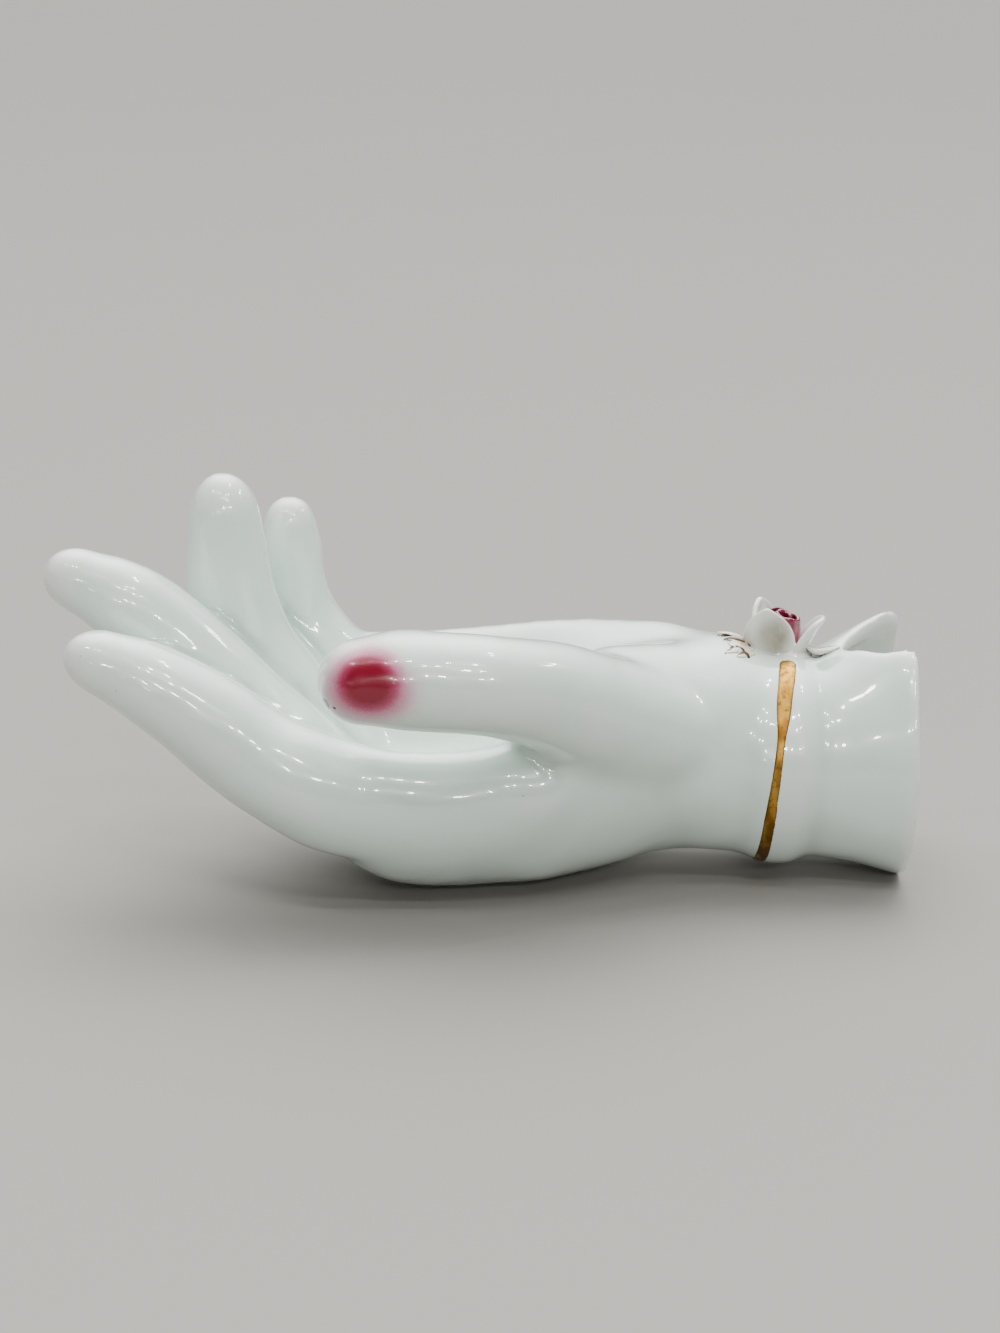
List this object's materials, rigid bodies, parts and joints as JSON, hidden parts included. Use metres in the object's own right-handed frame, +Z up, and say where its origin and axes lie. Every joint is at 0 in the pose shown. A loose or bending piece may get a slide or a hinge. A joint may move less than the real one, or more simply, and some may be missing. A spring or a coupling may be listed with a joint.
{
  "type": "hand jewelry stand",
  "caption": "Glazed porcelain hand lying palm up, with a cuffed wrist and a hand-built flower, that holds rings on its fingers and trinkets in its palm.",
  "frame": {"origin": "on the table, under the middle of the object's box", "axes": "+X along the forearm towards the cuff's hem, -Y towards the thumb side, +Z up out of the palm"},
  "size_m": [0.16, 0.0744, 0.0744],
  "materials": {
    "porcelain": "clear gloss glaze over white porcelain, with a blushed thumb nail and a gold line on the wrist",
    "crimson": "gloss crimson glaze",
    "leaf_cream": "gloss glaze with gold outlines"
  },
  "bodies": {
    "root": {"hand": "porcelain", "flower_bud": "crimson", "petal_front": "porcelain", "petal_left": "porcelain", "petal_right": "porcelain", "leaf_left": "leaf_cream", "leaf_right": "leaf_cream"}
  },
  "joints": []
}
